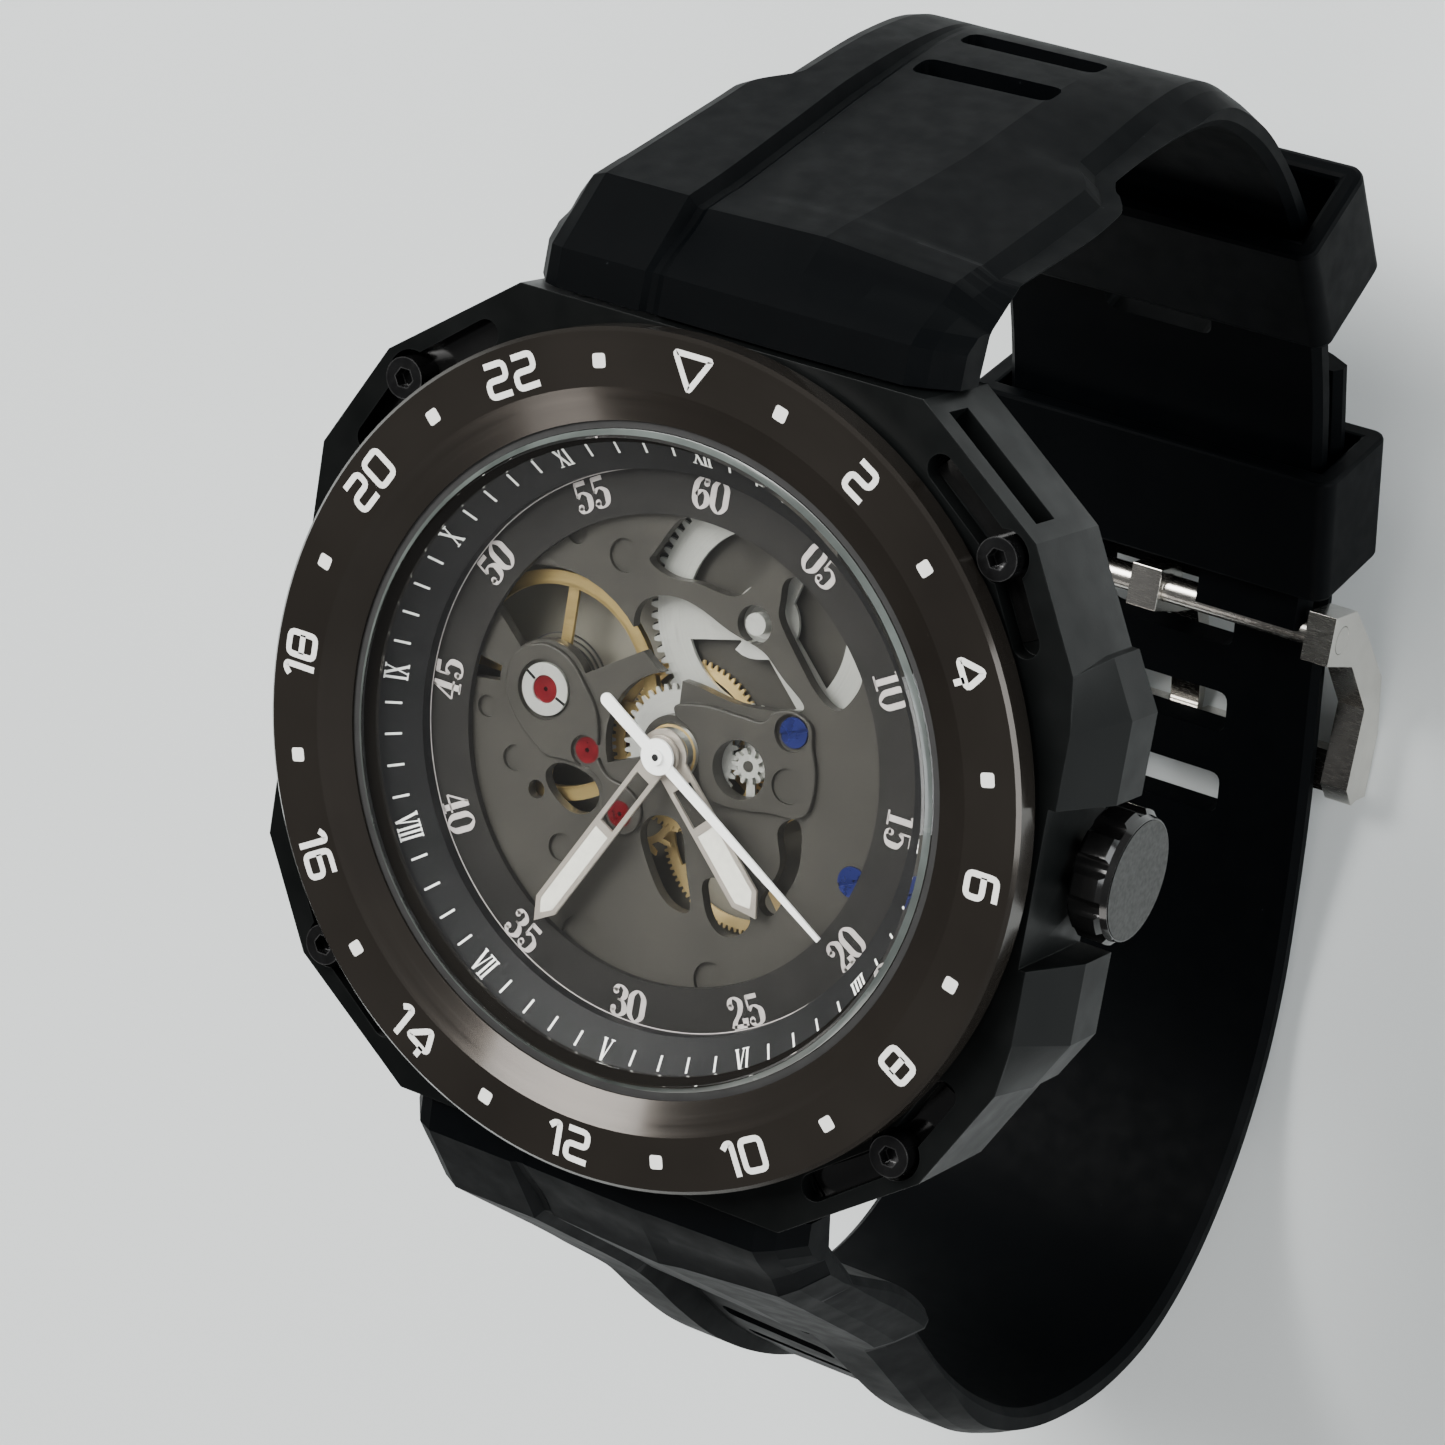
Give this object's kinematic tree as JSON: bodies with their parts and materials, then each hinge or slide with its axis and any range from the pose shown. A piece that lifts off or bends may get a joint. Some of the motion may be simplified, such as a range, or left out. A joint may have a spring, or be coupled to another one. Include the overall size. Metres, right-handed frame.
{
  "type": "skeleton wristwatch",
  "caption": "Twelve-sided skeleton wristwatch with a marked bezel, pierced movement under glass, central hands and a closed buckled strap.",
  "frame": {"origin": "centre of the case back's outer face", "axes": "+Z out of the dial towards the eye, +Y towards 12 o'clock, +X towards 3 o'clock and the crown"},
  "size_m": [0.0472, 0.083, 0.0686],
  "materials": {
    "case_black": "matte black coating over steel, fine bead-blasted grain",
    "bezel_black": "glossy black lacquer with white numerals",
    "sapphire": "clear polished sapphire, pale edge",
    "gasket": "matte black rubber",
    "dark_ring": "satin dark grey with white Roman numerals",
    "dial_taupe": "matte warm grey with pale numerals",
    "bridge_taupe": "matte taupe coating, fine grain",
    "gunmetal": "dark satin gunmetal",
    "steel": "fine circular brushing",
    "blue_steel": "heat-blued, polished",
    "gilt": "gilt, circular grained",
    "ruby": "polished red jewel",
    "hand_silver": "satin champagne silver",
    "hand_white": "white lacquer",
    "lume": "cream luminous filling",
    "silicone": "matte black silicone with a faint bloom",
    "buckle_steel": "satin steel"
  },
  "bodies": {
    "case": {"case_body": "case_black", "bezel": "bezel_black", "bezel_screws": "gunmetal", "crystal": "sapphire", "crystal_gasket": "gasket", "chapter_ring": "dark_ring", "dial_ring": "dial_taupe", "movement_holder": "gunmetal", "case_back": "case_black", "case_back_glass": "sapphire", "case_back_gasket": "gasket", "crown_tube": "steel", "click_spring": "steel", "balance_setting": "steel", "main_plate": "bridge_taupe", "train_bridge": "bridge_taupe", "skeleton_plate": "bridge_taupe", "jewels": "ruby", "plate_screws": "blue_steel", "rotor_bearing": "steel", "rotor_screw": "steel", "strap_upper": "silicone", "strap_lower": "silicone", "strap_bars": "steel", "buckle_pin": "buckle_steel", "keeper_fixed": "silicone"},
    "barrel": {"mainspring_barrel": "bridge_taupe", "mainspring": "steel"},
    "ratchet": {"ratchet_wheel": "steel", "barrel_arbor": "steel", "ratchet_screw": "steel"},
    "crown_wheel_body": {"crown_wheel": "steel"},
    "click_body": {"click": "steel"},
    "winding_pinion_body": {"winding_pinion": "steel"},
    "crown_slider": {"crown_gasket": "gasket"},
    "crown_turner": {"crown": "case_black", "winding_stem": "steel"},
    "centre": {"centre_wheel": "gilt", "cannon_pinion": "steel", "minute_hand": "hand_silver", "minute_hand_lume": "lume"},
    "third": {"third_wheel": "gilt", "third_pinion": "steel"},
    "fourth": {"fourth_wheel": "gilt", "fourth_pinion": "steel", "second_hand": "hand_white"},
    "escape": {"escape_wheel": "steel", "escape_pinion": "steel"},
    "fork": {"pallet_fork": "steel"},
    "balance": {"balance_wheel": "gilt", "balance_staff": "steel", "hairspring": "blue_steel"},
    "minute_work": {"minute_wheel": "steel"},
    "hour": {"hour_wheel": "steel", "hour_hand": "hand_silver", "hour_hand_lume": "lume"},
    "winding_rotor": {"rotor": "gunmetal"},
    "buckle": {"buckle_frame": "buckle_steel"},
    "tang": {"buckle_tang": "buckle_steel"},
    "keeper_loop": {"keeper_free": "silicone"}
  },
  "joints": [
    {"name": "seconds_turn", "type": "hinge", "parent": "case", "child": "fourth", "pos_m": [0, 0, 0.006], "axis": [0, 0, -1], "continuous": true},
    {"name": "centre_turn", "type": "hinge", "parent": "case", "child": "centre", "pos_m": [0, 0, 0.0055], "axis": [0, 0, -1], "continuous": true},
    {"name": "third_turn", "type": "hinge", "parent": "case", "child": "third", "pos_m": [0.0035, -0.0042, 0.005], "axis": [0, 0, -1], "continuous": true},
    {"name": "escape_turn", "type": "hinge", "parent": "case", "child": "escape", "pos_m": [-0.00255, -0.00418, 0.005], "axis": [0, 0, -1], "continuous": true},
    {"name": "barrel_turn", "type": "hinge", "parent": "case", "child": "barrel", "pos_m": [0.00344, 0.00779, 0.0048], "axis": [0, 0, -1], "continuous": true},
    {"name": "minute_work_turn", "type": "hinge", "parent": "case", "child": "minute_work", "pos_m": [0.00407, 0.00028, 0.0062], "axis": [0, 0, -1], "continuous": true},
    {"name": "hour_turn", "type": "hinge", "parent": "case", "child": "hour", "pos_m": [0, 0, 0.0068], "axis": [0, 0, -1], "continuous": true},
    {"name": "crown_pull", "type": "slide", "parent": "case", "child": "crown_slider", "axis": [1, 0, 0], "range_m": [0, 0.0016]},
    {"name": "crown_turn", "type": "hinge", "parent": "crown_slider", "child": "crown_turner", "pos_m": [0.0235, 0, 0.0037], "axis": [1, 0, 0], "continuous": true},
    {"name": "winding_pinion_turn", "type": "hinge", "parent": "case", "child": "winding_pinion_body", "pos_m": [0.0115, 0, 0.0037], "axis": [1, 0, 0], "continuous": true},
    {"name": "crown_wheel_turn", "type": "hinge", "parent": "case", "child": "crown_wheel_body", "pos_m": [0.01027, 0.00245, 0.0058], "axis": [0, 0, 1], "continuous": true},
    {"name": "ratchet_turn", "type": "hinge", "parent": "case", "child": "ratchet", "pos_m": [0.00344, 0.00779, 0.0058], "axis": [0, 0, 1], "continuous": true},
    {"name": "click_swing", "type": "hinge", "parent": "case", "child": "click_body", "pos_m": [0.0119, 0.0086, 0.0058], "axis": [0, 0, 1], "range_deg": [-3, 8], "stiffness_Nm_per_rad": 0.00002},
    {"name": "fork_swing", "type": "hinge", "parent": "case", "child": "fork", "pos_m": [-0.00504, -0.00144, 0.005], "axis": [0, 0, 1], "range_deg": [-5, 5]},
    {"name": "balance_swing", "type": "hinge", "parent": "case", "child": "balance", "pos_m": [-0.008, 0.00105, 0.005], "axis": [0, 0, 1], "range_deg": [-270, 270], "stiffness_Nm_per_rad": 0.000001},
    {"name": "rotor_turn", "type": "hinge", "parent": "case", "child": "winding_rotor", "pos_m": [0, 0, 0.0022], "axis": [0, 0, 1], "continuous": true},
    {"name": "buckle_swing", "type": "hinge", "parent": "case", "child": "buckle", "pos_m": [0, 0.0004, -0.0477], "axis": [1, 0, 0], "range_deg": [0, 8]},
    {"name": "tang_swing", "type": "hinge", "parent": "buckle", "child": "tang", "pos_m": [0, 0.0004, -0.0477], "axis": [1, 0, 0], "range_deg": [0, 4]},
    {"name": "keeper_slide", "type": "hinge", "parent": "case", "child": "keeper_loop", "pos_m": [0, -0.00187, -0.00824], "axis": [1, 0, 0], "range_deg": [-6, 10]}
  ],
  "couplings": [
    {"joint": "centre_turn", "follows": "seconds_turn", "ratio": 0.016667},
    {"joint": "third_turn", "follows": "seconds_turn", "ratio": -0.083333},
    {"joint": "escape_turn", "follows": "seconds_turn", "ratio": -12},
    {"joint": "barrel_turn", "follows": "seconds_turn", "ratio": -0.0026316},
    {"joint": "minute_work_turn", "follows": "seconds_turn", "ratio": -0.0055556},
    {"joint": "hour_turn", "follows": "seconds_turn", "ratio": 0.0013889},
    {"joint": "winding_pinion_turn", "follows": "crown_turn", "ratio": 1},
    {"joint": "crown_wheel_turn", "follows": "crown_turn", "ratio": -0.66667},
    {"joint": "ratchet_turn", "follows": "crown_turn", "ratio": 0.2}
  ]
}
